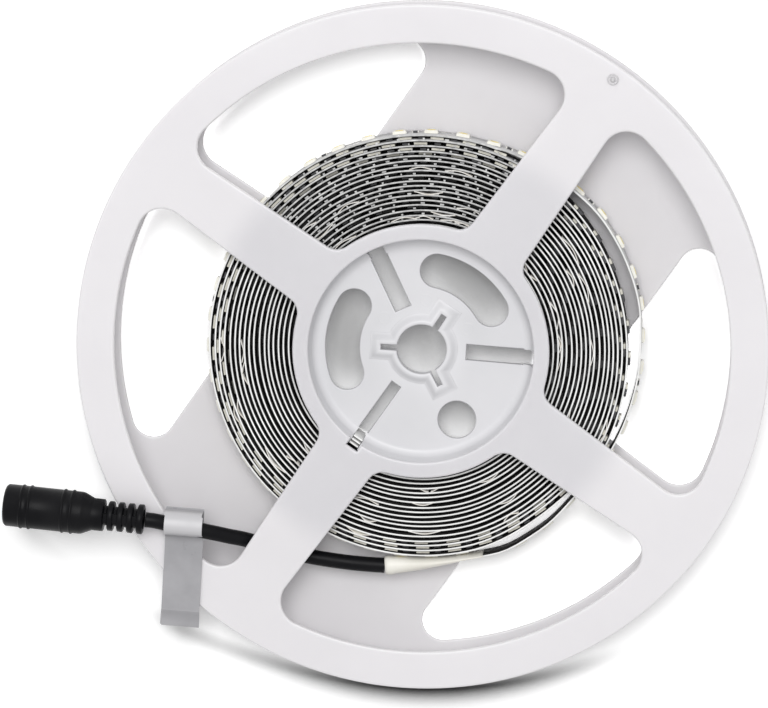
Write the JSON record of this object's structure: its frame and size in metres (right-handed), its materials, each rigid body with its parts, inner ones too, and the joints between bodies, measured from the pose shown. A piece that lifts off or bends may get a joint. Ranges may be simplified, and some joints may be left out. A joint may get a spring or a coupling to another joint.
{
  "type": "led strip light reel",
  "caption": "Round moulded reel holding a wound strip of small lights, with a short lead to a barrel socket taped to its rim.",
  "frame": {"origin": "on the reel's axis at the outer face of the back flange, on which the reel lies", "axes": "+Z along the reel's axis towards the front flange, +X to the right and +Y up in the pictured view"},
  "size_m": [0.1992, 0.18, 0.0237],
  "materials": {
    "white_plastic": "translucent white moulded styrene, satin, soft edges",
    "strip": "flexible circuit on edge, dark between white edges",
    "led_package": "pale yellow resin in a white frame",
    "chip_resistor": "black with tinned ends",
    "white_sleeve": "shrunk sleeve, satin",
    "black_pvc": "soft black moulded PVC",
    "black_plastic": "hard black insert",
    "nickel": "nickel plated contact",
    "grey_tape": "grey satin film tape, finely brushed"
  },
  "bodies": {
    "root": {"reel_back_half": "white_plastic", "reel_front_half": "white_plastic", "strip_roll": "strip", "solder_sleeve": "white_sleeve", "lead_cable": "black_pvc", "holding_tape": "grey_tape", "socket_body": "black_pvc", "socket_insert": "black_plastic", "socket_centre_pin": "nickel", "socket_spring_contact": "nickel", "led_01": "led_package", "led_02": "led_package", "led_03": "led_package", "led_04": "led_package", "led_05": "led_package", "led_06": "led_package", "led_07": "led_package", "led_08": "led_package", "led_09": "led_package", "led_10": "led_package", "led_11": "led_package", "led_12": "led_package", "led_13": "led_package", "led_14": "led_package", "led_15": "led_package", "led_16": "led_package", "led_17": "led_package", "led_18": "led_package", "led_19": "led_package", "led_20": "led_package", "led_21": "led_package", "led_22": "led_package", "led_23": "led_package", "led_24": "led_package", "led_25": "led_package", "led_26": "led_package", "led_27": "led_package", "led_28": "led_package", "led_29": "led_package", "led_30": "led_package", "led_31": "led_package", "led_32": "led_package", "led_33": "led_package", "led_34": "led_package", "led_35": "led_package", "led_36": "led_package", "resistor_01": "chip_resistor", "resistor_02": "chip_resistor", "resistor_03": "chip_resistor", "resistor_04": "chip_resistor", "resistor_05": "chip_resistor", "resistor_06": "chip_resistor", "resistor_07": "chip_resistor", "resistor_08": "chip_resistor", "resistor_09": "chip_resistor", "resistor_10": "chip_resistor", "resistor_11": "chip_resistor", "resistor_12": "chip_resistor"}
  },
  "joints": []
}
